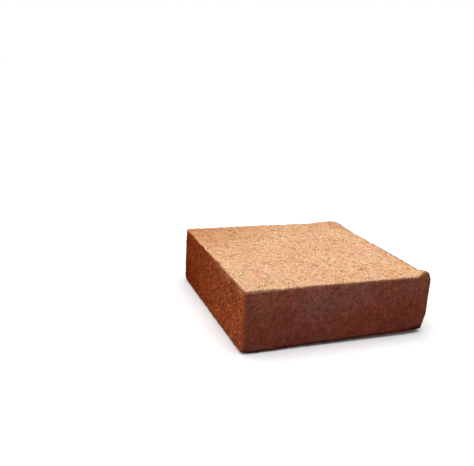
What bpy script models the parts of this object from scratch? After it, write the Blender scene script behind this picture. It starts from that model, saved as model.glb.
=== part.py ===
"""Pressed block of coconut coir: pith and short fibre squeezed in a square mould into one body.

Metres, +Z up. The origin is the middle of the face it rests on. -Y is the long narrow side that faces
the viewer, -X the side to its left. The mould's walls are flat, so nothing stands outside them: all
that is uneven about the block, from the worn corners to the pits between the grains, goes inward.
"""

import math
import random

import bmesh
import bpy
from mathutils import Vector, noise

# Size of the pressed block
SIDE = 0.300
HEIGHT = 0.0968
HALF = SIDE / 2

# Radius of the four upright corners in plan, by the signs of x and y
CORNER_RADII = {(-1, -1): 0.0050, (1, -1): 0.0070, (1, 1): 0.0060, (-1, 1): 0.0060}
# Radius of the edges round the top and round the bottom
TOP_EDGE = 0.0030
BOTTOM_EDGE = 0.0050

# Rings of points beside each edge, and the even spacing between them
EDGE_RINGS = (0.0026, 0.0066, 0.0126)
SPACING = 0.0088
# Share of the spacing by which a point strays from its even place
STRAY = 0.27

# Long, low unevenness of the faces: how wide, how deep
WAVE_WIDTH = 0.080
WAVE_DEPTH = 0.0008
# Clumps of pith with pits between them, and how deep the pits are on the pressed faces and the walls
CLUMP_WIDTH = 0.016
CLUMP_SHARE = 0.4
PIT_WIDTH = 0.0079
PIT_START = -0.05
TOP_PIT_DEPTH = 0.0042
WALL_PIT_DEPTH = 0.0026
# Beside an edge the pits fade to this share, over this distance
EDGE_PIT_SHARE = 0.25
EDGE_PIT_REACH = 0.012
# The walls fall back this much towards the top and bottom, where the block springs open
WALL_FALL = 0.0005
# The right wall lies this far inside the mould at its near and far end, and flares out at the near corner
RIGHT_FALL = (0.0055, 0.0006)
RIGHT_FLARE = (0.010, 0.036)
# The top has sunk this much, but not at the two corners at the right, where its rim stands up:
# where the rise ends, at the near corner and at the far one
TOP_FALL = 0.0020
TOP_FLARES = {-1: (0.006, 0.026), 1: (0.018, 0.070)}
# The flares press against the mould's wall, which cuts them flat
FLARE_SHARE = 1.2
# The foot of the front wall rounds up towards the right: how far, up to what height and how far under
FOOT_RISE = 0.0060
FOOT_HEIGHT = 0.022
FOOT_REACH = 0.026
# The middle of the underside is flat, so that it rests without rocking
REST_RADIUS = 0.045
REST_FADE = 0.020

# Crumbs broken off along the edges: how many for each metre, their radius and depth
CHIPS_PER_METRE = 22
CHIP_RADIUS = (0.0060, 0.0120)
CHIP_DEPTH = (0.0003, 0.0018)
# The upright edges and those round the bottom chip less than those round the top
LOW_CHIP_SHARE = 0.45
SEED = 11

# Worn places that show: middle, radius, and how far the surface is pushed in along x, y and z
WORN_PLACES = (
    # The upright corner at the right: blunted at the top and tucked in at the bottom
    ((HALF, -HALF, HEIGHT), 0.012, (-0.0026, 0.0014, -0.0050)),
    ((HALF, -HALF, 0.000), 0.034, (-0.0040, 0.0026, -0.0008)),
    # The nearest corner, blunted at the foot
    ((-HALF, -HALF, 0.000), 0.014, (0.0016, 0.0016, 0.0026)),
    # Bites out of the top edge at the left, the deepest one near its middle
    ((-HALF, -0.032, HEIGHT), 0.012, (0.0050, 0.0000, -0.0036)),
    ((-HALF, -0.012, HEIGHT), 0.011, (0.0026, 0.0000, -0.0020)),
    ((-HALF, 0.048, HEIGHT), 0.012, (0.0026, 0.0000, -0.0020)),
    ((-HALF, 0.104, HEIGHT), 0.012, (0.0022, 0.0000, -0.0020)),
    ((-HALF, -0.084, HEIGHT), 0.012, (0.0018, 0.0000, -0.0016)),
)

COIR_COLOUR = (0.30, 0.12, 0.055, 1.0)
COIR_ROUGHNESS = 0.95


def sign(value):
    return 1 if value >= 0 else -1


def steps_across(length):
    """Places along a side of the box: close together beside its two edges and even between them."""
    inner = length - 2 * EDGE_RINGS[-1]
    count = round(inner / SPACING)
    near = [0.0, *EDGE_RINGS[:-1]]
    even = [EDGE_RINGS[-1] + inner * i / count for i in range(count + 1)]
    far = [length - place for place in reversed(near)]
    return near + even + far


def plan_point(x, y):
    """A point of the square plan moved on to the plan with round corners, and the way out from there."""
    sx, sy = sign(x), sign(y)
    radius = CORNER_RADII[sx, sy]
    dx = abs(x) - (HALF - radius)
    dy = abs(y) - (HALF - radius)
    if dx <= 0 or dy <= 0:
        out = Vector((sx, 0, 0)) if dx > dy else Vector((0, sy, 0))
        return Vector((x, y, 0)), out
    way = Vector((sx * dx, sy * dy, 0)).normalized()
    middle = Vector((sx * (HALF - radius), sy * (HALF - radius), 0))
    return middle + way * max(dx, dy), way


def rounded_point(x, y, z):
    """A point of the sharp box moved on to the block with round corners and edges, and the normal there."""
    place, out = plan_point(x, y)
    inset = max(0.0, min(HALF - abs(x), HALF - abs(y)))
    upper = z > HEIGHT / 2
    up = Vector((0, 0, 1 if upper else -1))
    radius = TOP_EDGE if upper else BOTTOM_EDGE
    depth = HEIGHT - z if upper else z
    across = max(0.0, 1 - inset / radius)
    along = max(0.0, 1 - depth / radius)
    if across == 0:
        return place + Vector((0, 0, z)), up
    if along == 0:
        return place + Vector((0, 0, z)), out
    size = math.hypot(across, along)
    normal = out * (across / size) + up * (along / size)
    corner = place - out * (radius - inset) + Vector((0, 0, z)) - up * (radius - depth)
    return corner + normal * radius, normal


def smoothstep(low, high, value):
    share = min(1.0, max(0.0, (value - low) / (high - low)))
    return share * share * (3 - 2 * share)


def settled(place):
    """The point drawn in from the mould where the block has sprung back, sunk or rounded away from it."""
    along = (place.y + HALF) / SIDE
    right_fall = RIGHT_FALL[0] + (RIGHT_FALL[1] - RIGHT_FALL[0]) * along
    flare = 1 - smoothstep(*RIGHT_FLARE, place.y + HALF)
    corner_gap = math.hypot(HALF - place.x, HALF - abs(place.y))
    rim = 1 - smoothstep(*TOP_FLARES[sign(place.y)], corner_gap)
    foot = 1 - smoothstep(0, FOOT_REACH, place.y + HALF)
    foot *= (place.x + HALF) / SIDE * max(0.0, 1 - place.z / FOOT_HEIGHT) ** 2
    return Vector((
        place.x - max(0.0, place.x / HALF) * right_fall * (1 - FLARE_SHARE * flare),
        place.y,
        place.z - place.z / HEIGHT * TOP_FALL * (1 - FLARE_SHARE * rim) + FOOT_RISE * foot,
    ))


def edge_share(place):
    """How much of their depth the pits have here: little at an edge, all of it on the open face."""
    insets = sorted((HALF - abs(place.x), HALF - abs(place.y), min(place.z, HEIGHT - place.z)))
    inset = min(1.0, max(0.0, insets[1] / EDGE_PIT_REACH))
    return EDGE_PIT_SHARE + (1 - EDGE_PIT_SHARE) * inset


def pit_depth(place, normal):
    """How far the surface lies below the mould's wall, from the waves, the clumps and the pits."""
    wave = noise.noise(place / WAVE_WIDTH)
    clump = noise.noise(place / CLUMP_WIDTH + Vector((7, 0, 0)))
    pit = noise.noise(place / PIT_WIDTH + Vector((0, 5, 0)))
    deepest = TOP_PIT_DEPTH * abs(normal.z) + WALL_PIT_DEPTH * (1 - abs(normal.z))
    rough = max(0.0, CLUMP_SHARE * clump + (1 - CLUMP_SHARE) * pit - PIT_START)
    return WAVE_DEPTH * max(0.0, wave) + deepest * rough * edge_share(place)


def wall_fall(place, normal):
    """How far a wall falls back near the top and the bottom."""
    height = 2 * place.z / HEIGHT - 1
    return WALL_FALL * (1 - abs(normal.z)) * height**4


def rest_share(place):
    """0 in the flat middle of the underside and 1 away from it."""
    if place.z > HEIGHT / 2:
        return 1.0
    away = (math.hypot(place.x, place.y) - REST_RADIUS) / REST_FADE
    return min(1.0, max(0.0, away))


def edge_places(rng):
    """Random places along the block's twelve edges, each with the way out and how readily it chips."""
    runs = []
    for a in (-1, 1):
        for b in (-1, 1):
            upright = Vector((a, b, 0))
            runs.append((Vector((a * HALF, b * HALF, HEIGHT / 2)), Vector((0, 0, HEIGHT)), upright))
            level = HEIGHT if b > 0 else 0.0
            runs.append((Vector((a * HALF, 0, level)), Vector((0, SIDE, 0)), Vector((a, 0, b))))
            runs.append((Vector((0, a * HALF, level)), Vector((SIDE, 0, 0)), Vector((0, a, b))))
    for middle, run, out in runs:
        share = LOW_CHIP_SHARE if out.z <= 0 else 1.0
        for _ in range(round(CHIPS_PER_METRE * run.length)):
            yield middle + run * (rng.random() - 0.5), out.normalized() * share


def chips():
    """All places where the surface is pushed in: middle, radius and push."""
    rng = random.Random(SEED)
    found = [(Vector(middle), radius, Vector(push)) for middle, radius, push in WORN_PLACES]
    for place, out in edge_places(rng):
        radius = rng.uniform(*CHIP_RADIUS)
        depth = CHIP_DEPTH[0] + (CHIP_DEPTH[1] - CHIP_DEPTH[0]) * rng.random() ** 2
        found.append((place, radius, -out * depth))
    return found


def worn(place, pushes):
    """The point pushed in by the chip that reaches it most, so that chips that overlap don't add up."""
    most = Vector((0, 0, 0))
    for middle, radius, push in pushes:
        near = (place - middle).length / radius
        if near < 1:
            most = max(most, push * (1 - near * near) ** 2, key=lambda found: found.length)
    return place + most


def block_point(x, y, z, pushes):
    """Where a point of the sharp box lies on the finished block, never outside the mould."""
    place, normal = rounded_point(x, y, z)
    depth = (pit_depth(place, normal) + wall_fall(place, normal)) * rest_share(place)
    moved = worn(settled(place - normal * depth), pushes)
    moved.x = min(HALF, max(-HALF, moved.x))
    moved.y = min(HALF, max(-HALF, moved.y))
    moved.z = min(HEIGHT, max(0.0, moved.z))
    return moved


def strayed(places, i, j, rng):
    """A grid point a little off its even place, unless it belongs to the rings beside an edge."""
    rings = len(EDGE_RINGS)
    found = []
    for axis, at in enumerate((i, j)):
        row = places[axis]
        free = rings < at < len(row) - 1 - rings
        found.append(row[at] + free * STRAY * SPACING * rng.uniform(-1, 1))
    return found


def block_mesh():
    """The block's surface as a grid over the six faces of a box, shaped point by point."""
    rng = random.Random(SEED)
    flat = [place - HALF for place in steps_across(SIDE)]
    tall = steps_across(HEIGHT)
    last, top = len(flat) - 1, len(tall) - 1
    pushes = chips()
    shape = bmesh.new()
    points = {}

    def point(i, j, k):
        if (i, j, k) not in points:
            x, y, z = flat[i], flat[j], tall[k]
            if k in (0, top):
                x, y = strayed((flat, flat), i, j, rng)
            elif j in (0, last):
                x, z = strayed((flat, tall), i, k, rng)
            else:
                y, z = strayed((flat, tall), j, k, rng)
            points[i, j, k] = shape.verts.new(block_point(x, y, z, pushes))
        return points[i, j, k]

    def quad(*corners):
        shape.faces.new([point(*corner) for corner in corners])

    for i in range(last):
        for j in range(last):
            quad((i, j, top), (i + 1, j, top), (i + 1, j + 1, top), (i, j + 1, top))
            quad((i, j, 0), (i, j + 1, 0), (i + 1, j + 1, 0), (i + 1, j, 0))
        for k in range(top):
            quad((i, 0, k), (i + 1, 0, k), (i + 1, 0, k + 1), (i, 0, k + 1))
            quad((i, last, k), (i, last, k + 1), (i + 1, last, k + 1), (i + 1, last, k))
            quad((0, i, k), (0, i, k + 1), (0, i + 1, k + 1), (0, i + 1, k))
            quad((last, i, k), (last, i + 1, k), (last, i + 1, k + 1), (last, i, k + 1))
    bmesh.ops.triangulate(shape, faces=shape.faces, quad_method="SHORT_EDGE")
    mesh = bpy.data.meshes.new("coir_block")
    shape.to_mesh(mesh)
    shape.free()
    return mesh


def coir_material():
    material = bpy.data.materials.new("coir")
    material.use_nodes = True
    surface = material.node_tree.nodes["Principled BSDF"]
    surface.inputs["Base Color"].default_value = COIR_COLOUR
    surface.inputs["Roughness"].default_value = COIR_ROUGHNESS
    surface.inputs["Metallic"].default_value = 0.0
    return material


def clear_scene():
    for obj in list(bpy.data.objects):
        bpy.data.objects.remove(obj)


def main():
    clear_scene()
    mesh = block_mesh()
    mesh.materials.append(coir_material())
    mesh.shade_smooth()
    mesh.set_sharp_from_angle(angle=math.radians(50))
    block = bpy.data.objects.new("coir_block", mesh)
    bpy.context.scene.collection.objects.link(block)


main()
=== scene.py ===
"""Looks of a pressed block of coconut coir: crumbs of pith and short fibre bound in one square slab.

Metres, +Z up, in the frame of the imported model. The slab's surface is worked out again, finer, from the
same mould, wear and pits as its solid. Crumbs of pith and fibres are then set into it one by one.
"""

import math
import random

import bpy
import numpy as np
from mathutils import Matrix, Vector, noise


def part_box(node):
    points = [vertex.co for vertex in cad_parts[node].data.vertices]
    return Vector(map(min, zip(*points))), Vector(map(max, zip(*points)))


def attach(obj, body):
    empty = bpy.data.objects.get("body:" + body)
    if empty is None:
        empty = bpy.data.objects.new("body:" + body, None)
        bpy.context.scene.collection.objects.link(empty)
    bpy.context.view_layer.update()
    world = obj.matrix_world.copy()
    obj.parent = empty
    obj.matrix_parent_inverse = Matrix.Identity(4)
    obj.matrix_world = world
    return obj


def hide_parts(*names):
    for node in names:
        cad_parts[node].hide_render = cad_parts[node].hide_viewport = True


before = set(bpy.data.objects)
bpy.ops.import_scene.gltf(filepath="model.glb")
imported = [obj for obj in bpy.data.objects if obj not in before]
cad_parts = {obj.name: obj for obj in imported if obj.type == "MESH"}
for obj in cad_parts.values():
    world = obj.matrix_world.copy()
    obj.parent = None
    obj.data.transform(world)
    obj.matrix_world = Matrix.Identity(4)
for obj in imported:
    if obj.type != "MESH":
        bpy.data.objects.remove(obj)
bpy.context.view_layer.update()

# The mould: its plan from the frame, and its height
BLOCK = "coir_block"
LOW, HIGH = (Vector(corner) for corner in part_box(BLOCK))
HEIGHT = 0.0968
HALF = (HIGH.x - LOW.x) / 2
SIDE = 2 * HALF

# The form, as in the solid: radii of the upright corners by the signs of x and y, and of the other edges
CORNER_RADII = {(-1, -1): 0.0050, (1, -1): 0.0070, (1, 1): 0.0060, (-1, 1): 0.0060}
TOP_EDGE = 0.0030
BOTTOM_EDGE = 0.0050
# Waves, clumps and pits: how wide and how deep they are, the clumps' share, and the level where pits start
WAVE_WIDTH = 0.080
WAVE_DEPTH = 0.0008
CLUMP_WIDTH = 0.016
CLUMP_SHARE = 0.4
PIT_WIDTH = 0.0079
PIT_START = -0.05
TOP_PIT_DEPTH = 0.0042
WALL_PIT_DEPTH = 0.0026
# The pits keep this share of their depth at an edge, and all of it beyond this distance
EDGE_PIT_SHARE = 0.25
EDGE_PIT_REACH = 0.012
# How far a wall falls back towards the top and the bottom
WALL_FALL = 0.0005
# How far the right wall lies inside the mould at its near and its far end, and where it flares out again
# towards the near corner
RIGHT_FALL = (0.0055, 0.0006)
RIGHT_FLARE = (0.010, 0.036)
# How far the top has sunk, and how near the two right corners it stands up again
TOP_FALL = 0.0020
NEAR_FLARE = (0.006, 0.026)
FAR_FLARE = (0.018, 0.070)
# A flare takes back this share of a fall, and the mould stops what is over
FLARE_SHARE = 1.2
# How far the foot of the front wall has risen at its right end, and how high and how far under that reaches
FOOT_RISE = 0.0060
FOOT_HEIGHT = 0.022
FOOT_REACH = 0.026
# The underside is flat within this radius, and its relief grows over this distance
REST_RADIUS = 0.045
REST_FADE = 0.020
# Small chips along the edges: number, radius, depth, and the share of that depth on low and upright edges
CHIPS_PER_METRE = 22
CHIP_RADIUS = (0.0060, 0.0120)
CHIP_DEPTH = (0.0003, 0.0018)
LOW_CHIP_SHARE = 0.45
FORM_SEED = 11
# Larger worn places: middle, radius and push
WORN_PLACES = (
    ((HALF, -HALF, HEIGHT), 0.012, (-0.0026, 0.0014, -0.0050)),
    ((HALF, -HALF, 0.000), 0.034, (-0.0040, 0.0026, -0.0008)),
    ((-HALF, -HALF, 0.000), 0.014, (0.0016, 0.0016, 0.0026)),
    ((-HALF, -0.032, HEIGHT), 0.012, (0.0050, 0.0000, -0.0036)),
    ((-HALF, -0.012, HEIGHT), 0.011, (0.0026, 0.0000, -0.0020)),
    ((-HALF, 0.048, HEIGHT), 0.012, (0.0026, 0.0000, -0.0020)),
    ((-HALF, 0.104, HEIGHT), 0.012, (0.0022, 0.0000, -0.0020)),
    ((-HALF, -0.084, HEIGHT), 0.012, (0.0018, 0.0000, -0.0016)),
)

# How upright the surface is where the top's colour ends and the walls' begins
UPRIGHT = (0.30, 0.97)
# How far up the surface must face for the walls' colour to wrap over on to it
FACING_UP = (0.05, 0.35)
# Dark rims, where the walls' colour wraps over on to the top: widths at the left, right and far edges
RIM_WIDTHS = (0.0004, 0.0041, 0.0022)
# Diamonds of the same kind round the right and the far left corner, and a notch in the left edge: place,
# half lengths, and how softly they end
RIM_PATCHES = (
    ((HALF, -HALF), (0.028, 0.015), 0.0040),
    ((-HALF, HALF), (0.007, 0.010), 0.0012),
    ((-HALF, -0.032), (0.009, 0.0045), 0.0006),
)
# How ragged the rims are, how long the waves in them are, and how softly they end
RIM_RAGGED = 0.0024
RIM_WAVE = 0.011
RIM_SOFT = 0.0006
# Where along the rough walls the colour deepens with painted shade, and how far it deepens on the top from
# its far left corner, there partly as painted shade
FAR_SHADE_FROM = (-0.13, 0.16)
TOP_CORNER_SHADE = (0.17, 0.14)
# How much it deepens, partly as painted shade, in the strip along the top's far edge
FAR_EDGE_SHADE = 0.25
FAR_EDGE_SHADE_FROM = (0.07, 0.15)
# Where along the left wall its foot grows darker and redder with painted shade, and how high that reaches
FAR_FOOT_SHADE = (0.050, 0.130)
FAR_FOOT_SHADE_REACH = (0.010, 0.060)
# How far round an upright edge the burnish reaches: from and up to this turn towards a burnished wall
BURNISH_TURN = (0.15, 0.80)
# The top's colour stays in part on the upper rim of the burnished walls: how much at their right end and at
# their left one, where the left end's share fades, and how far down the rim goes
PALE_RIM = (0.17, 0.40)
PALE_RIM_RUN = (0.030, 0.100)
PALE_RIM_REACH = (0.0010, 0.0070)
# The same on the left wall: how much, where along the wall it ends, how far down it goes at its far end and
# at its near one, where the two meet, and over what distance it fades at the near upright edge
DUSTY_RIM = 0.28
DUSTY_RIM_END = (0.06, 0.11)
DUSTY_RIM_REACH = (0.006, 0.018)
DUSTY_RIM_TURN = (-0.08, 0.00)
DUSTY_RIM_START = (0.001, 0.012)
# How far the rub on the upright edges reaches, and how high and how far under the foot is darkened with
# painted shade
RUB_REACH = (0.001, 0.006)
FOOT_SHADE = (0.0040, 0.0078)
FOOT_UNDER = (0.004, 0.012)
# The rough walls' foot gets this share of the painted shade
FOOT_SHADE_SIDE = 0.16
# The dark reaches this many times as high at the left and at the right end, and higher still by this share
# at the right corner, within this distance
FOOT_SPREAD = (0.74, 1.35)
CORNER_SPREAD = 0.90
CORNER_SPREAD_REACH = 0.050
# Round the right upright edge the wall beside it is burnished too, fading over this distance
TURN_REACH = (0.006, 0.020)
# That edge has painted shade too: how much of the foot's, how far from the wall and how far round it
EDGE_SHADE = 0.75
EDGE_SHADE_INSET = (0.0006, 0.0028)
EDGE_SHADE_REACH = (0.004, 0.012)
# Pale greyish clouds on the burnished walls, partly dust and partly painted sheen: how broad they are, how
# far from the left end they begin, and the levels of the noise between which they grow
SHEEN_WIDTH = 0.050
SHEEN_START = (0.000, 0.030)
SHEEN_LEVELS = (0.0, 0.7)
# A patch with more of the dust and painted sheen and a rusty one: middle in x and z, half width and height,
# and how much more of it
SHEEN_PATCH = ((-0.030, 0.070), (0.060, 0.034))
SHEEN_MORE = 0.8
RUST_PATCH = ((0.100, 0.030), (0.050, 0.034))

# The ground between the crumbs: its mesh, how far it lies under the block's surface, how wide and how deep
# its relief is, and the share of the relief that a burnished wall keeps
GROUND_SPACING = 0.0024
GROUND_SINK = 0.0006
GROUND_RELIEF = ((0.0060, 0.0007), (0.0030, 0.0006))
LEAST_RELIEF = 0.35
# Its tone at the middle of the relief, and how much darker it is painted for each metre deeper, as painted
# shade in the hollows
GROUND_TONE = 0.42
HOLLOW_SHADE = 260
# The gap between the six faces' places on the flat map that the textures are baked to
SHEET_GAP = 0.010

# A crumb's shape: the level of its ring of five points, how far out and at which angles its three top
# points lie, and middle and scale of its upper faces and of its underside on its part of the flat map
CRUMB_FOOT = -0.35
CRUMB_TOP = 0.55
CRUMB_TOP_ANGLES = (36, 156, 276)
CRUMB_UPPER_MAP = (0.42, 0.38)
CRUMB_UNDER_MAP = (0.91, 0.07)
# Crumbs of pith: lengths and heights against their size, how ragged they are, how far they lean, how much
# of their height is sunk, and how far they may stand out of the mould
CRUMB_LENGTHS = (0.75, 1.40)
CRUMB_HEIGHTS = (0.30, 0.62)
CRUMB_RAGGED = (0.72, 1.22)
CRUMB_TILT = 0.26
CRUMB_SINK = 0.25
CRUMB_SPARE = 0.0004
# Their half sizes, where a power over 1 makes more of them small, and the distances between them
COARSE_SIZE = (0.0010, 0.0021)
FINE_SIZE = (0.0006, 0.0012)
MIXED_SIZE = (0.0007, 0.0019)
SIZE_POWER = 1.5
TOP_SPACING = 0.00245
SIDE_SPACING = 0.00205
END_SPACING = 0.0023
UNDER_SPACING = 0.0036
# On the burnished walls the crumbs have this share of their size, and this much of their height is sunk
BURNISHED_SIZE = 0.85
BURNISHED_SINK = 0.75
# Tones of the crumbs: the spread about the middle, the share of dark ones, and how pale these are at most
TONE_SPREAD = 0.15
DARK_SHARE = 0.045
DARK_TONE = 0.2

# Short fibres, and each face's share of them by the axis that it faces along and its level
FIBRE_COUNT = 3000
FIBRE_SHARES = {
    (2, HEIGHT): 1.0,
    (2, 0.0): 0.35,
    (0, -HALF): 0.3,
    (0, HALF): 0.3,
    (1, -HALF): 0.22,
    (1, HALF): 0.22,
}
# Their length and radius, the points along each, and how far they bend and wander from point to point
FIBRE_LENGTH = (0.004, 0.014)
FIBRE_RADIUS = (0.00009, 0.00019)
FIBRE_STEPS = 6
FIBRE_TURN = 0.35
FIBRE_WANDER = 0.12
# How far their ends rise, the shares of it between which each one's ends do, how much of it the middle lies
# low, the share of the ground's depth that they are sunk by, and how far they may stand out of the mould
FIBRE_RISE = 0.0006
FIBRE_ENDS = (-0.6, 1.0)
FIBRE_LOW = 0.3
FIBRE_SINK = 0.3
FIBRE_SPARE = 0.0005
# Fibres are tubes: their sides, a way that few of them run along, and how blunt their ends are
TUBE_SIDES = 3
TUBE_ASIDE = (0.3, 0.5, 0.81)
TUBE_END = 0.25
SEED = 5

# The camera, fitted to the block's straight edges in the photograph
LENS = 44.35
SENSOR = 36.0
CAMERA_PLACE = (-0.4141, -0.8143, 0.3827)
CAMERA_FORWARD = (0.33688, 0.89868, -0.28087)
CAMERA_UP = (0.04701, 0.28189, 0.95829)

# The studio: floor, sky as a light and as the camera sees it, and one broad light overhead
FLOOR_SIZE = 30
FLOOR_COLOUR = (0.86, 0.86, 0.86)
FLOOR_ROUGHNESS = 0.9
SKY_LIGHT = 0.45
SKY_SEEN = 1.0
KEY_LIGHT = 2.9
KEY_ANGLE = 60
KEY_WAY = (0.12, 0.06, -1.0)


def smoothstep(low, high, value):
    share = np.clip((value - low) / (high - low), 0, 1)
    return share * share * (3 - 2 * share)


def blend(ends, share):
    """The first of the two where share is 0, and the second where it is 1."""
    return ends[0] + (ends[1] - ends[0]) * share


def corner_radius(signs):
    """The plan radius of the corner that each point belongs to."""
    found = np.zeros(len(signs))
    for (sx, sy), radius in CORNER_RADII.items():
        found[(signs[:, 0] == sx) & (signs[:, 1] == sy)] = radius
    return found


def plan_points(points):
    """The points moved on to the plan with round corners, and the way out of the plan from each."""
    signs = np.where(points[:, :2] >= 0, 1.0, -1.0)
    radius = corner_radius(signs)[:, None]
    over = np.abs(points[:, :2]) - (HALF - radius)
    in_corner = (over > 0).all(1)[:, None]
    by_x = (over[:, 0] > over[:, 1])[:, None]
    flat_way = np.where(by_x, signs * (1.0, 0.0), signs * (0.0, 1.0))
    round_way = signs * over
    round_way /= np.maximum(np.linalg.norm(round_way, axis=1, keepdims=True), 1e-9)
    round_place = signs * (HALF - radius) + round_way * over.max(1, keepdims=True)
    way = np.where(in_corner, round_way, flat_way)
    place = np.where(in_corner, round_place, points[:, :2])
    level = np.zeros((len(points), 1))
    return np.hstack([place, level]), np.hstack([way, level])


def rounded_points(points):
    """The points of the sharp box moved on to the block with round corners and edges, and the normals."""
    place, out = plan_points(points)
    z = points[:, 2:]
    inset = np.maximum(0.0, HALF - np.abs(points[:, :2]).max(1, keepdims=True))
    upper = z > HEIGHT / 2
    up = np.hstack([np.zeros_like(place[:, :2]), np.where(upper, 1.0, -1.0)])
    radius = np.where(upper, TOP_EDGE, BOTTOM_EDGE)
    depth = np.where(upper, HEIGHT - z, z)
    across = np.maximum(0.0, 1 - inset / radius)
    along = np.maximum(0.0, 1 - depth / radius)
    size = np.maximum(np.hypot(across, along), 1e-9)
    turned = (out * across + up * along) / size
    level = np.hstack([np.zeros_like(place[:, :2]), z])
    corner = place - out * (radius - inset) + level - up * (radius - depth) + turned * radius
    on_edge = (across > 0) & (along > 0)
    normal = np.where(on_edge, turned, np.where(across > 0, out, up))
    return np.where(on_edge, corner, place + level), normal


def noise_at(points, width, shift=(0, 0, 0)):
    """Noise at each point, for lumps about this wide. The shift keeps two patterns from lining up."""
    spots = points / width + np.array(shift)
    return np.array([noise.noise(spot) for spot in spots.tolist()])


def right_fall(y):
    """How far the right wall lies inside the mould: less at the far end, and none at the near corner."""
    fall = blend(RIGHT_FALL, (y + HALF) / SIDE)
    return fall * (1 - FLARE_SHARE * (1 - smoothstep(*RIGHT_FLARE, y + HALF)))


def foot_rise(points):
    """How far the foot of the front wall has risen here."""
    x, y, z = points.T
    share = (1 - smoothstep(0, FOOT_REACH, y + HALF)) * (x + HALF) / SIDE
    return FOOT_RISE * share * np.maximum(0.0, 1 - z / FOOT_HEIGHT) ** 2


def settled(points):
    """The points drawn in from the mould where the block has sprung back, sunk or rounded away from it."""
    x, y, z = points.T
    corner_gap = np.hypot(HALF - x, HALF - np.abs(y))
    flare = 1 - np.where(y < 0, smoothstep(*NEAR_FLARE, corner_gap), smoothstep(*FAR_FLARE, corner_gap))
    return np.stack([
        x - np.maximum(0.0, x / HALF) * right_fall(y),
        y,
        z - z / HEIGHT * TOP_FALL * (1 - FLARE_SHARE * flare) + foot_rise(points),
    ], axis=1)


def edge_share(points):
    """How much of their depth the pits have here: little at an edge, all of it on the open face."""
    insets = np.stack([
        HALF - np.abs(points[:, 0]),
        HALF - np.abs(points[:, 1]),
        np.minimum(points[:, 2], HEIGHT - points[:, 2]),
    ])
    inset = np.clip(np.sort(insets, axis=0)[1] / EDGE_PIT_REACH, 0, 1)
    return blend((EDGE_PIT_SHARE, 1), inset)


def pit_depth(points, normals):
    """How far the surface lies below the mould's wall, from the waves, the clumps and the pits."""
    wave = noise_at(points, WAVE_WIDTH)
    clump = noise_at(points, CLUMP_WIDTH, (7, 0, 0))
    pit = noise_at(points, PIT_WIDTH, (0, 5, 0))
    level = np.abs(normals[:, 2])
    deepest = TOP_PIT_DEPTH * level + WALL_PIT_DEPTH * (1 - level)
    rough = np.maximum(0.0, CLUMP_SHARE * clump + (1 - CLUMP_SHARE) * pit - PIT_START)
    return WAVE_DEPTH * np.maximum(0.0, wave) + deepest * rough * edge_share(points)


def wall_fall(points, normals):
    """How far a wall falls back near the top and the bottom."""
    height = 2 * points[:, 2] / HEIGHT - 1
    return WALL_FALL * (1 - np.abs(normals[:, 2])) * height**4


def rest_share(points):
    """0 in the flat middle of the underside and 1 away from it."""
    away = (np.hypot(points[:, 0], points[:, 1]) - REST_RADIUS) / REST_FADE
    return np.where(points[:, 2] > HEIGHT / 2, 1.0, np.clip(away, 0, 1))


def edge_places(rng):
    """Random places along the twelve edges, each with the way out, shorter where chips are less deep."""
    runs = []
    for a in (-1, 1):
        for b in (-1, 1):
            upright = Vector((a, b, 0))
            runs.append((Vector((a * HALF, b * HALF, HEIGHT / 2)), Vector((0, 0, HEIGHT)), upright))
            level = HEIGHT if b > 0 else 0.0
            runs.append((Vector((a * HALF, 0, level)), Vector((0, SIDE, 0)), Vector((a, 0, b))))
            runs.append((Vector((0, a * HALF, level)), Vector((SIDE, 0, 0)), Vector((0, a, b))))
    for middle, run, out in runs:
        share = LOW_CHIP_SHARE if out.z <= 0 else 1.0
        for _ in range(round(CHIPS_PER_METRE * run.length)):
            yield middle + run * (rng.random() - 0.5), out.normalized() * share


def chips():
    """All places where the surface is pushed in: middle, radius and push."""
    rng = random.Random(FORM_SEED)
    found = [(Vector(middle), radius, Vector(push)) for middle, radius, push in WORN_PLACES]
    for place, out in edge_places(rng):
        radius = rng.uniform(*CHIP_RADIUS)
        depth = blend(CHIP_DEPTH, rng.random() ** 2)
        found.append((place, radius, -out * depth))
    return found


def worn(points):
    """The points pushed in by the chip that reaches each of them most."""
    most = np.zeros_like(points)
    for middle, radius, push in chips():
        near = np.linalg.norm(points - np.array(middle), axis=1) / radius
        share = np.where(near < 1, (1 - near * near) ** 2, 0.0)
        moved = share[:, None] * np.array(push)
        stronger = np.linalg.norm(moved, axis=1) > np.linalg.norm(most, axis=1)
        most[stronger] = moved[stronger]
    return points + most


def in_mould(points, spare=0.0):
    """The points kept inside the mould, and on the ground that the block rests on."""
    low = (-HALF - spare, -HALF - spare, 0.0)
    high = (HALF + spare, HALF + spare, HEIGHT + spare)
    return np.clip(points, low, high)


def block_surface(points):
    """Where points of the sharp box lie on the block, and the way out there."""
    place, normal = rounded_points(points)
    depth = (pit_depth(place, normal) + wall_fall(place, normal)) * rest_share(place)
    return in_mould(worn(settled(place - normal * depth[:, None]))), normal


def rim_share(points):
    """1 on the strips and patches of the top where the walls' colour wraps over, and 0 away from them."""
    x, y, _ = points.T
    ragged = RIM_RAGGED * noise_at(points, RIM_WAVE, (2, 2, 0))
    insets = (HALF + x, HALF - right_fall(y) - x, HALF - y)
    gaps = [(inset - width + ragged) / RIM_SOFT for inset, width in zip(insets, RIM_WIDTHS)]
    for (px, py), (long, wide), soft in RIM_PATCHES:
        away = (np.abs(x - px) / long + np.abs(y - py) / wide - 1) * min(long, wide)
        gaps.append((away + ragged) / soft)
    return 1 - smoothstep(-1, 1, np.min(gaps, axis=0))


def patch(points, middle, size):
    """1 in the middle of a soft oval patch of the front and the back wall, fading to 0 outside it."""
    (x, z), (wide, high) = middle, size
    return np.exp(-((points[:, 0] - x) / wide) ** 2 - ((points[:, 2] - z) / high) ** 2)


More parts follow.
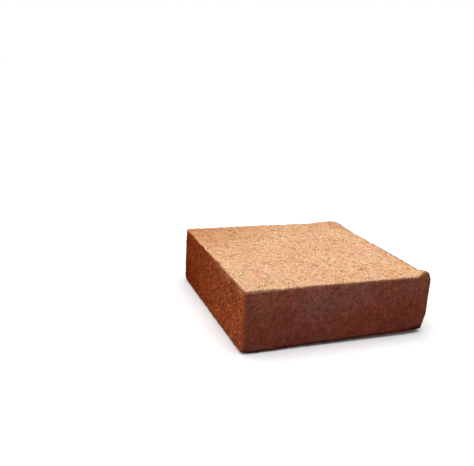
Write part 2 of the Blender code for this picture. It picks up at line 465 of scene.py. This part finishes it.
def dusty_rim(points, normals):
    """How much of the top's colour the upper rim of the left wall keeps."""
    _, y, z = points.T
    reach = blend(DUSTY_RIM_REACH, 1 - smoothstep(*DUSTY_RIM_TURN, y))
    share = 1 - smoothstep(0, 1, (HEIGHT - TOP_FALL - z) / reach)
    share *= smoothstep(*DUSTY_RIM_START, y + HALF) * (1 - smoothstep(*DUSTY_RIM_END, y))
    return DUSTY_RIM * share * np.maximum(0.0, -normals[:, 0])


def pale_rim(points, normals, upper):
    """How much of the top's colour the upper rims of the burnished walls and of the left one keep."""
    share = blend(PALE_RIM, 1 - smoothstep(*PALE_RIM_RUN, HALF + points[:, 0]))
    share *= upper * smoothstep(*BURNISH_TURN, np.abs(normals[:, 1]))
    return np.maximum(share, dusty_rim(points, normals))


def far_shade_share(points, wall):
    """How far the colour is deepened by painted shade along a rough wall, and partly so on the top near its
    far corner and edge.
    """
    x, y, _ = points.T
    corner = np.clip(1 - np.hypot((HALF + x) / TOP_CORNER_SHADE[0], (HALF - y) / TOP_CORNER_SHADE[1]), 0, 1)
    top = np.maximum(corner, FAR_EDGE_SHADE * smoothstep(*FAR_EDGE_SHADE_FROM, y))
    return blend((top, smoothstep(*FAR_SHADE_FROM, y)), wall)


def foot_shade_share(points):
    """How much painted shade darkens the foot of the walls, and the right upright edge."""
    x, y, z = points.T
    spread = blend(FOOT_SPREAD, (x + HALF) / SIDE)
    spread += CORNER_SPREAD * (1 - smoothstep(0, CORNER_SPREAD_REACH, HALF - x))
    low = (z - foot_rise(points)) / spread
    under_side, under_end = (1 - smoothstep(*FOOT_UNDER, HALF - np.abs(way)) for way in (x, y))
    foot = (1 - smoothstep(*FOOT_SHADE, low)) * np.maximum(FOOT_SHADE_SIDE * under_side, under_end)
    edge = 1 - smoothstep(*EDGE_SHADE_INSET, HALF - right_fall(y) - x)
    edge *= EDGE_SHADE * (1 - smoothstep(*EDGE_SHADE_REACH, y + HALF))
    return np.maximum(foot, edge)


def zones(points, normals):
    """The shares that the materials read, from 0 to 1 at each point.

    wall: not on the pressed top.
    burnished: on a wall that the mould has smoothed.
    rubbed: at the left upright edges.
    deep: painted shade towards the far end of a rough wall, and partly painted shade at the far left corner
    and the far edge of the top.
    low: towards the foot of a burnished wall.
    far_low: painted shade at the foot of the left wall's far end.
    bloom and rust: in pale patches, partly dust and partly painted sheen, and in reddish patches of a
    burnished wall.
    foot: painted shade along the lower edges of the walls, and down the right upright edge.
    """
    x, y, z = points.T
    upright = smoothstep(*UPRIGHT, np.linalg.norm(normals[:, :2], axis=1))
    wraps = rim_share(points)
    rim = wraps * smoothstep(*FACING_UP, normals[:, 2])
    upper = 1 - smoothstep(*PALE_RIM_REACH, HEIGHT - TOP_FALL - z)
    pale = pale_rim(points, normals, upper) * (1 - wraps)
    wall = np.maximum(np.maximum(upright * (1 - pale), normals[:, 2] < 0), rim)
    turn = np.where(x > 0, 1 - smoothstep(*TURN_REACH, y + HALF), 0.0)
    smoothed = np.maximum(smoothstep(*BURNISH_TURN, np.abs(normals[:, 1])), turn)
    burnished = np.maximum(upright * smoothed, rim * (x > 0))
    rough = 1 - burnished
    inset = np.maximum(HALF - np.abs(x), HALF - np.abs(y))
    # Pale greyish clouds, partly dust and partly painted sheen
    dust_and_sheen_noise = noise_at(points, SHEEN_WIDTH, (4, 0, 9)) + SHEEN_MORE * patch(points, *SHEEN_PATCH)
    dust_and_sheen = smoothstep(*SHEEN_LEVELS, dust_and_sheen_noise) * smoothstep(*SHEEN_START, HALF + x) * (1 - upper)
    # Painted shade at the foot of the left wall's far end
    far_low = smoothstep(*FAR_FOOT_SHADE, y) * (1 - smoothstep(*FAR_FOOT_SHADE_REACH, z))
    return {
        "wall": wall,
        "burnished": burnished,
        "rubbed": upright * (1 - smoothstep(*RUB_REACH, inset)) * (x < 0),
        "deep": far_shade_share(points, wall) * rough,
        "low": (1 - z / HEIGHT) * burnished,
        "far_low": far_low * (x < 0) * rough,
        "dust_and_sheen": dust_and_sheen * burnished,
        "rust": patch(points, *RUST_PATCH) * burnished,
        "foot": foot_shade_share(points),
    }


def repeated(shares, times):
    """The shares with each value this many times, for the points that are made from one place."""
    return {key: np.repeat(values, times) for key, values in shares.items()}


def copied_faces(faces, points, count):
    """The faces of one shape of so many points, over again for each copy of it."""
    starts = points * np.arange(count)[:, None, None]
    return (np.asarray(faces)[None] + starts).reshape(-1, 3)


def add_shares(mesh, shares):
    """Stores one number for each vertex under each name, for the materials to read."""
    for name, values in shares.items():
        layer = mesh.attributes.new(name, "FLOAT", "POINT")
        layer.data.foreach_set("value", np.asarray(values, dtype=np.float32))


def add_map(mesh, places):
    """Lays the faces out flat, one place for each of their corners, so that textures can be baked."""
    layer = mesh.uv_layers.new(name="OFBake", do_init=False)
    layer.uv.foreach_set("vector", places.astype(np.float32).ravel())


def new_piece(name, points, faces, material, shares, smooth, places=None):
    """Makes one piece of the object from points and faces, and binds it to the frame."""
    mesh = bpy.data.meshes.new(name)
    mesh.vertices.add(len(points))
    mesh.vertices.foreach_set("co", points.astype(np.float32).ravel())
    sides = faces.shape[1]
    mesh.loops.add(faces.size)
    mesh.loops.foreach_set("vertex_index", faces.astype(np.int32).ravel())
    mesh.polygons.add(len(faces))
    mesh.polygons.foreach_set("loop_start", np.arange(len(faces), dtype=np.int32) * sides)
    mesh.update(calc_edges=True)
    add_shares(mesh, shares)
    if places is not None:
        add_map(mesh, places)
    mesh.materials.append(material)
    if smooth:
        mesh.shade_smooth()
    else:
        mesh.shade_flat()
    piece = bpy.data.objects.new(name, mesh)
    bpy.context.scene.collection.objects.link(piece)
    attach(piece, "root")
    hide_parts(BLOCK)


def sheet_corner(axis, level):
    """The corner of one face of the box on the flat map: the pressed faces below, the walls above."""
    across = (SIDE + SHEET_GAP) * (level > 0)
    up = {2: 0.0, 0: SIDE + SHEET_GAP, 1: SIDE + HEIGHT + 2 * SHEET_GAP}
    return np.array([across, up[axis]])


def box_grid(spacing):
    """Points and quads of a closed grid over the sharp box's six faces, and the quads on the flat map."""
    counts = np.array([round(SIDE / spacing), round(SIDE / spacing), round(HEIGHT / spacing)])
    size = np.array([SIDE, SIDE, HEIGHT])
    quads, places = [], []
    for axis in range(3):
        u, v = (n for n in range(3) if n != axis)
        i, j = (grid.ravel() for grid in np.meshgrid(range(counts[u]), range(counts[v]), indexing="ij"))
        for level in (0, counts[axis]):
            outward = (level > 0) == (axis != 1)
            turn = ((0, 0), (1, 0), (1, 1), (0, 1)) if outward else ((0, 0), (0, 1), (1, 1), (1, 0))
            corners = np.zeros((len(i), 4, 3), dtype=int)
            for n, (di, dj) in enumerate(turn):
                corners[:, n, axis] = level
                corners[:, n, u] = i + di
                corners[:, n, v] = j + dj
            quads.append(corners)
            places.append(corners[:, :, (u, v)] * (size / counts)[[u, v]] + sheet_corner(axis, level))
    lattice, faces = np.unique(np.vstack(quads).reshape(-1, 3), axis=0, return_inverse=True)
    points = lattice * (size / counts) - np.array([HALF, HALF, 0.0])
    return points, faces.reshape(-1, 4), np.vstack(places) / (2 * SIDE + SHEET_GAP)


def ground(material):
    """The block's own surface, which shows in the gaps between the crumbs."""
    sharp, faces, places = box_grid(GROUND_SPACING)
    place, normal = block_surface(sharp)
    shares = zones(place, normal)
    kept = blend((1, LEAST_RELIEF), shares["burnished"])
    relief = np.zeros(len(place))
    for width, depth in GROUND_RELIEF:
        relief += depth * (0.5 + noise_at(place, width, (3, 1, 4)))
    sunk = place - normal * (GROUND_SINK + relief * kept)[:, None]
    # The deeper hollows of the ground are darkened with painted shade
    shares["tone"] = np.clip(GROUND_TONE - HOLLOW_SHADE * (relief - relief.mean()), 0, 1)
    new_piece("coir_ground", in_mould(sunk), faces, material, shares, True, places)


def scattered(rng, axis, level, spacing):
    """Random places on one face of the sharp box, about this far apart."""
    u, v = (n for n in range(3) if n != axis)
    size = {0: SIDE, 1: SIDE, 2: HEIGHT}
    rows, columns = round(size[u] / spacing), round(size[v] / spacing)
    i, j = (grid.ravel() for grid in np.meshgrid(range(rows), range(columns), indexing="ij"))
    places = np.zeros((len(i), 3))
    places[:, axis] = level
    places[:, u] = (i + rng.random(len(i))) * size[u] / rows
    places[:, v] = (j + rng.random(len(j))) * size[v] / columns
    return places - np.array([HALF if n != axis and n < 2 else 0.0 for n in range(3)])


def crumb_shape():
    """A closed crumb: a ring of five points, three above them, its triangles, and these laid out flat."""
    turns = [2 * math.pi * n / 5 for n in range(5)]
    ring = [(math.cos(turn), math.sin(turn), CRUMB_FOOT) for turn in turns]
    turns = [math.radians(angle) for angle in CRUMB_TOP_ANGLES]
    top = [(CRUMB_TOP * math.cos(turn), CRUMB_TOP * math.sin(turn), 1.0) for turn in turns]
    corners = np.array(ring + top)
    sides = [(0, 1, 5), (1, 2, 5), (2, 6, 5), (2, 3, 6), (3, 7, 6), (3, 4, 7), (4, 0, 7), (0, 5, 7)]
    under = [(0, 2, 1), (0, 3, 2), (0, 4, 3)]
    faces = np.array([*sides, (5, 6, 7), *under])
    flat = CRUMB_UPPER_MAP[0] + CRUMB_UPPER_MAP[1] * corners[faces][:, :, :2]
    flat[-len(under):] = CRUMB_UNDER_MAP[0] + CRUMB_UNDER_MAP[1] * corners[np.array(under)][:, :, :2]
    return corners, faces, flat


def tangents(normals, rng, tilt):
    """Three ways at right angles for each point: two along the surface, turned at random, and out."""
    out = normals + tilt * rng.uniform(-1, 1, normals.shape)
    out /= np.linalg.norm(out, axis=1, keepdims=True)
    along = np.cross(out, rng.normal(size=normals.shape))
    along /= np.linalg.norm(along, axis=1, keepdims=True)
    return along, np.cross(out, along), out


def crumb_tones(rng, count):
    """A tone for each crumb: most near the middle, and a few dark."""
    tones = rng.normal(0.5, TONE_SPREAD, count)
    return np.where(rng.random(count) < DARK_SHARE, DARK_TONE * rng.random(count), tones)


def stretched(shapes, middle, ways, sizes):
    """The points of a shape round each middle, stretched by its three sizes along its three ways."""
    moved = 0
    for n, (way, size) in enumerate(zip(ways, sizes)):
        moved = moved + shapes[:, :, n:n + 1] * (way * size[:, None])[:, None]
    return middle[:, None] + moved


def crumb_map(flat, count):
    """Each crumb's faces on the flat map, in a cell of its own."""
    rows = math.ceil(count**0.5)
    cells = np.stack([np.arange(count) % rows, np.arange(count) // rows], axis=1)
    return (flat[None] + cells[:, None, None]) / rows


def crumbs(name, sharp, sizes, rng, material):
    """Ragged crumbs of pith set into the surface at these places of the sharp box."""
    place, normal = block_surface(sharp)
    shares = zones(place, normal)
    count = len(place)
    size = blend(sizes, rng.random(count) ** SIZE_POWER) * blend((1, BURNISHED_SIZE), shares["burnished"])
    ways = tangents(normal, rng, CRUMB_TILT)
    lengths = size * rng.uniform(*CRUMB_LENGTHS, count)
    widths = size * rng.uniform(*CRUMB_LENGTHS, count)
    heights = size * rng.uniform(*CRUMB_HEIGHTS, count)
    sink = heights * blend((CRUMB_SINK, BURNISHED_SINK), shares["burnished"])
    middle = place - normal * (GROUND_SINK + sink)[:, None]
    corners, faces, flat = crumb_shape()
    ragged = rng.uniform(*CRUMB_RAGGED, (count, len(corners), 1)) * corners[None]
    points = stretched(ragged, middle, ways, (lengths, widths, heights)).reshape(-1, 3)
    shares["tone"] = crumb_tones(rng, count)
    spread = repeated(shares, len(corners))
    all_faces = copied_faces(faces, len(corners), count)
    points = in_mould(points, CRUMB_SPARE)
    new_piece(name, points, all_faces, material, spread, False, crumb_map(flat, count))


def all_crumbs(material):
    """Crumbs on every face, in pieces that each stay small."""
    rng = np.random.default_rng(SEED)
    pieces = {
        "crumbs_top": (COARSE_SIZE, [(2, HEIGHT, TOP_SPACING)]),
        "grains_top": (FINE_SIZE, [(2, HEIGHT, TOP_SPACING)]),
        "crumbs_sides": (MIXED_SIZE, [(0, -HALF, SIDE_SPACING), (0, HALF, SIDE_SPACING)]),
        "crumbs_ends": (MIXED_SIZE, [(1, -HALF, END_SPACING), (1, HALF, END_SPACING)]),
        "crumbs_under": (COARSE_SIZE, [(2, 0.0, UNDER_SPACING)]),
    }
    for name, (sizes, faces) in pieces.items():
        sharp = np.vstack([scattered(rng, *face) for face in faces])
        crumbs(name, sharp, sizes, rng, material)


def fibre_tubes(lines, radii):
    """Tubes along the lines, thinner towards both ends and closed there."""
    count, steps, _ = lines.shape
    ahead = np.gradient(lines, axis=1)
    ahead /= np.linalg.norm(ahead, axis=2, keepdims=True)
    side = np.cross(ahead, np.array(TUBE_ASIDE))
    side /= np.linalg.norm(side, axis=2, keepdims=True)
    other = np.cross(ahead, side)
    taper = np.sin(np.linspace(TUBE_END, math.pi - TUBE_END, steps)) ** 0.5
    rings = []
    for n in range(TUBE_SIDES):
        turn = 2 * math.pi * n / TUBE_SIDES
        way = side * math.cos(turn) + other * math.sin(turn)
        rings.append(lines + way * (radii[:, None] * taper)[:, :, None])
    faces = []
    for step in range(steps - 1):
        for n in range(TUBE_SIDES):
            a, b = TUBE_SIDES * step + n, TUBE_SIDES * step + (n + 1) % TUBE_SIDES
            faces += [(a, b, b + TUBE_SIDES), (a, b + TUBE_SIDES, a + TUBE_SIDES)]
    last = TUBE_SIDES * (steps - 1)
    faces += [(0, 2, 1), (last, last + 1, last + 2)]
    points = np.stack(rings, axis=2).reshape(-1, 3)
    return points, copied_faces(faces, TUBE_SIDES * steps, count)


def fibre_starts(rng):
    """Random places on the sharp box where the fibres start."""
    total = sum(FIBRE_SHARES.values())
    starts = []
    for (axis, level), share in FIBRE_SHARES.items():
        area = SIDE * (SIDE if axis == 2 else HEIGHT)
        spacing = (area / (FIBRE_COUNT * share / total)) ** 0.5
        starts.append(scattered(rng, axis, level, spacing))
    return np.vstack(starts)


def fibre_lines(rng, starts):
    """The points of a bent line from each start along the sharp box, one line after another."""
    count = len(starts)
    _, normal = rounded_points(starts)
    along, across, _ = tangents(normal, rng, 0.0)
    length = rng.uniform(*FIBRE_LENGTH, count)
    turn = rng.uniform(-FIBRE_TURN, FIBRE_TURN, count)
    heading = np.zeros(count)
    steps = [starts]
    for _ in range(FIBRE_STEPS - 1):
        heading += turn + rng.normal(0, FIBRE_WANDER, count)
        way = along * np.cos(heading)[:, None] + across * np.sin(heading)[:, None]
        steps.append(steps[-1] + way * (length / FIBRE_STEPS)[:, None])
    return in_mould(np.stack(steps, axis=1).reshape(-1, 3))


def fibres(material):
    """Short fibres that lie in the surface, bent a little, with ends that rise out of it or dip into it."""
    rng = np.random.default_rng(SEED + 1)
    starts = fibre_starts(rng)
    count = len(starts)
    place, out = block_surface(fibre_lines(rng, starts))
    shares = zones(place, out)
    rise = np.linspace(-1, 1, FIBRE_STEPS)[None] ** 2 * rng.uniform(*FIBRE_ENDS, (count, 1))
    lift = FIBRE_RISE * (rise.ravel() - FIBRE_LOW) - FIBRE_SINK * GROUND_SINK
    lifted = (place + out * lift[:, None]).reshape(count, FIBRE_STEPS, 3)
    points, faces = fibre_tubes(lifted, rng.uniform(*FIBRE_RADIUS, count))
    shares["tone"] = np.repeat(rng.random(count), FIBRE_STEPS)
    spread = repeated(shares, TUBE_SIDES)
    new_piece("fibres", in_mould(points, FIBRE_SPARE), faces, material, spread, True)


# Noise in the materials: how many finer layers broad and fine noise have, and how strong these are
BROAD_DETAIL = 4.0
FINE_DETAIL = 3.0
NOISE_ROUGHNESS = 0.6
# How sharply patches differ
PATCH_CONTRAST = 3.0
# The places of a mix node's colours among its inputs and outputs
MIX_FIRST = 6
MIX_SECOND = 7
MIX_RESULT = 2


class Nodes:
    """Short names for adding and joining a material's nodes."""

    def __init__(self, name):
        self.material = bpy.data.materials.new(name)
        self.material.use_nodes = True
        self.tree = self.material.node_tree
        self.surface = self.tree.nodes["Principled BSDF"]
        self.place = self.add("ShaderNodeTexCoord").outputs["Object"]

    def add(self, kind, **settings):
        """A new node with these settings."""
        node = self.tree.nodes.new(kind)
        for key, value in settings.items():
            setattr(node, key, value)
        return node

    def join(self, source, target):
        self.tree.links.new(source, target)

    def share(self, name):
        """A number stored on the mesh."""
        return self.add("ShaderNodeAttribute", attribute_name=name).outputs["Fac"]

    def noise(self, width, detail=BROAD_DETAIL):
        """Noise from 0 to 1 with lumps about this wide."""
        node = self.add("ShaderNodeTexNoise")
        node.inputs["Scale"].default_value = 1 / width
        node.inputs["Detail"].default_value = detail
        node.inputs["Roughness"].default_value = NOISE_ROUGHNESS
        self.join(self.place, node.inputs["Vector"])
        return node.outputs["Fac"]

    def math(self, operation, a, b):
        """The result of one sum of two numbers, each set or read from a node."""
        node = self.add("ShaderNodeMath", operation=operation)
        for socket, value in zip(node.inputs, (a, b)):
            if isinstance(value, (int, float)):
                socket.default_value = value
            else:
                self.join(value, socket)
        return node.outputs[0]

    def ramp(self, value, stops):
        """The colour at this value between the stops."""
        node = self.add("ShaderNodeValToRGB")
        places = node.color_ramp.elements
        while len(places) < len(stops):
            places.new(0.5)
        for place, (at, colour) in zip(places, stops):
            place.position = at
            place.color = (*colour, 1.0)
        self.join(value, node.inputs["Fac"])
        return node.outputs["Color"]

    def mix(self, share, a, b, way="MIX"):
        """Two colours mixed, the second by this share."""
        node = self.add("ShaderNodeMix", data_type="RGBA", blend_type=way)
        sockets = (node.inputs["Factor"], node.inputs[MIX_FIRST], node.inputs[MIX_SECOND])
        for socket, value in zip(sockets, (share, a, b)):
            if isinstance(value, float):
                socket.default_value = value
            elif isinstance(value, tuple):
                socket.default_value = (*value, 1.0)
            else:
                self.join(value, socket)
        return node.outputs[MIX_RESULT]

    def patches(self, width):
        """A number that wanders between about 0 and 1 over patches of this width."""
        away = self.math("SUBTRACT", self.noise(width), 0.5)
        return self.math("ADD", self.math("MULTIPLY", away, PATCH_CONTRAST), 0.5)

    def turned(self, share, colour, tint):
        """The colour multiplied by the tint where share is 1, and divided by it where share is 0."""
        other = tuple(1 / part for part in tint)
        return self.mix(1.0, colour, self.mix(share, other, tint), "MULTIPLY")

    def tinted(self, share, colour, tint):
        """The colour multiplied by the tint where share is 1, and left as it is where share is 0."""
        return self.mix(share, colour, self.mix(1.0, colour, tint, "MULTIPLY"))


# Colours of the crumbs from dark to pale, on the pressed top and on the two kinds of wall: the top's pale
# tan is partly its own colour and partly painted light from overhead, and the walls' dark browns are partly
# their own colour and partly painted shade
TOP_LIT_COLOURS = (
    (0.0, (0.34, 0.155, 0.068)),
    (0.25, (0.66, 0.370, 0.203)),
    (0.5, (0.76, 0.468, 0.272)),
    (0.75, (0.83, 0.550, 0.335)),
    (1.0, (0.90, 0.640, 0.415)),
)
WALL_SHADED_COLOURS = (
    (0.1, (0.110, 0.019, 0.005)),
    (0.35, (0.235, 0.045, 0.011)),
    (0.5, (0.328, 0.070, 0.018)),
    (0.65, (0.425, 0.103, 0.031)),
    (0.9, (0.560, 0.171, 0.066)),
)
BURNISHED_SHADED_COLOURS = (
    (0.1, (0.075, 0.015, 0.007)),
    (0.38, (0.138, 0.032, 0.0155)),
    (0.5, (0.178, 0.045, 0.0225)),
    (0.62, (0.220, 0.062, 0.033)),
    (0.9, (0.275, 0.090, 0.053)),
)
# The left upright edges have this colour, by this share
RUBBED_COLOUR = (0.285, 0.060, 0.025)
RUBBED_SHARE = 0.45
# What the colours are multiplied by for painted shade at the far end of a rough wall, and for partly
# painted shade at the far left corner of the top
FAR_SHADE_TINT = (0.71, 0.48, 0.17)
TOP_CORNER_SHADE_TINT = (0.76, 0.58, 0.42)
# The same low down, in the patches of dust and painted sheen, and in the rust of a burnished wall
LOW_TINT = (0.75, 0.61, 0.65)
SHEEN_TINT = (1.02, 1.28, 1.60)
RUST_TINT = (0.96, 0.76, 0.62)
# The same for painted shade along the foot of the walls and down the right upright edge, and at the foot of
# the left wall's far end
FOOT_SHADE_TINT = (0.26, 0.17, 0.17)
FAR_FOOT_SHADE_TINT = (0.74, 0.52, 0.42)
# What a face's colours are multiplied and divided by from patch to patch, and how wide the patches are
TOP_ROSY = (1.008, 0.94, 0.92)
TOP_GOLDEN = (1.0, 0.99, 0.90)
WALL_GOLDEN = (1.0, 1.0, 0.78)
BURNISHED_ROSY = (1.03, 0.88, 0.88)
ROSY_WIDTH = 0.026
GOLDEN_WIDTH = 0.041
# How the tone varies over clouds of crumbs, and within each crumb: width and strength
CLOUD_WIDTH = 0.030
CLOUD_STRENGTH = 0.4
SPECK_WIDTH = 0.0022
SPECK_STRENGTH = 0.3
# The fibres are paler than the crumbs by this much
FIBRE_TONE = 0.10
# How dull the coir is, how much less so where it is burnished, and how little it shines
DULLNESS = 0.97
BURNISHED_LESS = 0.22
SHINE = 0.08
# The finest grain, which only the shading shows
GRAIN_WIDTH = 0.0011
GRAIN_DEPTH = 0.0004
GRAIN_STRENGTH = 0.5


def coir_tone(nodes, shift):
    """How pale the coir is at each spot: its crumb's tone, clouds of crumbs, and specks in each crumb."""
    cloud = nodes.math("SUBTRACT", nodes.noise(CLOUD_WIDTH), 0.5)
    speck = nodes.math("SUBTRACT", nodes.noise(SPECK_WIDTH, FINE_DETAIL), 0.5)
    tone = nodes.math("ADD", nodes.share("tone"), nodes.math("MULTIPLY", cloud, CLOUD_STRENGTH))
    tone = nodes.math("ADD", tone, nodes.math("MULTIPLY", speck, SPECK_STRENGTH))
    return nodes.math("ADD", tone, shift)


def coir_colour(nodes, tone):
    """Each kind of face has its own range of colours, partly painted light on the top and partly painted
    shade on the walls, turned a little from patch to patch.
    """
    rosy = nodes.patches(ROSY_WIDTH)
    golden = nodes.patches(GOLDEN_WIDTH)
    # deep: painted shade at the far end of the rough walls, and partly painted shade at the top's far
    # corner and edge
    deep = nodes.share("deep")
    # The top's colours are partly painted light, and the walls' colours partly painted shade
    top = nodes.turned(golden, nodes.turned(rosy, nodes.ramp(tone, TOP_LIT_COLOURS), TOP_ROSY), TOP_GOLDEN)
    top = nodes.tinted(deep, top, TOP_CORNER_SHADE_TINT)
    wall = nodes.turned(golden, nodes.ramp(tone, WALL_SHADED_COLOURS), WALL_GOLDEN)
    wall = nodes.tinted(deep, wall, FAR_SHADE_TINT)
    burnished = nodes.turned(golden, nodes.ramp(tone, BURNISHED_SHADED_COLOURS), WALL_GOLDEN)
    burnished = nodes.turned(rosy, burnished, BURNISHED_ROSY)
    # Pale greyish patches, partly dust and partly painted sheen
    burnished = nodes.tinted(nodes.share("dust_and_sheen"), burnished, SHEEN_TINT)
    burnished = nodes.tinted(nodes.share("rust"), burnished, RUST_TINT)
    wall = nodes.mix(nodes.share("burnished"), wall, burnished)
    wall = nodes.tinted(nodes.share("low"), wall, LOW_TINT)
    # far_low: painted shade, darker and redder, at the foot of the left wall's far end
    wall = nodes.tinted(nodes.share("far_low"), wall, FAR_FOOT_SHADE_TINT)
    wall = nodes.mix(nodes.math("MULTIPLY", nodes.share("rubbed"), RUBBED_SHARE), wall, RUBBED_COLOUR)
    # foot: painted shade along the lower edges of the walls and down the right upright edge
    wall = nodes.tinted(nodes.share("foot"), wall, FOOT_SHADE_TINT)
    return nodes.mix(nodes.share("wall"), top, wall)


def coir(name, shift=0.0):
    """Dry coir, dull and finely grained, this much paler than usual."""
    nodes = Nodes(name)
    surface = nodes.surface.inputs
    nodes.join(coir_colour(nodes, coir_tone(nodes, shift)), surface["Base Color"])
    less = nodes.math("MULTIPLY", nodes.share("burnished"), BURNISHED_LESS)
    nodes.join(nodes.math("SUBTRACT", DULLNESS, less), surface["Roughness"])
    surface["Specular IOR Level"].default_value = SHINE
    bump = nodes.add("ShaderNodeBump")
    bump.inputs["Strength"].default_value = GRAIN_STRENGTH
    bump.inputs["Distance"].default_value = GRAIN_DEPTH
    nodes.join(nodes.noise(GRAIN_WIDTH, FINE_DETAIL), bump.inputs["Height"])
    nodes.join(bump.outputs["Normal"], surface["Normal"])
    return nodes.material


def floor():
    """A wide pale floor under the block."""
    nodes = Nodes("floor")
    nodes.surface.inputs["Base Color"].default_value = (*FLOOR_COLOUR, 1.0)
    nodes.surface.inputs["Roughness"].default_value = FLOOR_ROUGHNESS
    bpy.ops.mesh.primitive_plane_add(size=FLOOR_SIZE, location=(0, 0, 0))
    plane = bpy.context.object
    plane.name = "floor"
    plane.data.materials.append(nodes.material)


def sky():
    """An even sky, grey as a light and white where the camera sees it."""
    world = bpy.data.worlds.new("studio")
    bpy.context.scene.world = world
    world.use_nodes = True
    tree = world.node_tree
    back = tree.nodes["Background"]
    rays = tree.nodes.new("ShaderNodeLightPath")
    seen = tree.nodes.new("ShaderNodeMapRange")
    seen.inputs["To Min"].default_value = SKY_LIGHT
    seen.inputs["To Max"].default_value = SKY_SEEN
    tree.links.new(rays.outputs["Is Camera Ray"], seen.inputs["Value"])
    tree.links.new(seen.outputs["Result"], back.inputs["Strength"])
    back.inputs["Color"].default_value = (1, 1, 1, 1)


def key_light():
    """One broad light from overhead."""
    light = bpy.data.lights.new("key", "SUN")
    light.energy = KEY_LIGHT
    light.angle = math.radians(KEY_ANGLE)
    key = bpy.data.objects.new("key", light)
    key.rotation_euler = Vector(KEY_WAY).to_track_quat("-Z", "Y").to_euler()
    bpy.context.scene.collection.objects.link(key)


def camera():
    """The camera, placed as the photograph's was."""
    data = bpy.data.cameras.new("camera")
    data.lens = LENS
    data.sensor_width = SENSOR
    data.sensor_fit = "HORIZONTAL"
    eye = bpy.data.objects.new("camera", data)
    back = -Vector(CAMERA_FORWARD).normalized()
    right = Vector(CAMERA_UP).cross(back).normalized()
    up = back.cross(right)
    turn = Matrix((right, up, back)).transposed().to_4x4()
    eye.matrix_world = Matrix.Translation(CAMERA_PLACE) @ turn
    bpy.context.scene.collection.objects.link(eye)
    bpy.context.scene.camera = eye


def main():
    """Builds the block and the studio round it."""
    surface = coir("coir")
    ground(surface)
    all_crumbs(surface)
    fibres(coir("coir_fibre", FIBRE_TONE))
    floor()
    sky()
    key_light()
    camera()
    bpy.context.scene.view_settings.view_transform = "Standard"


main()
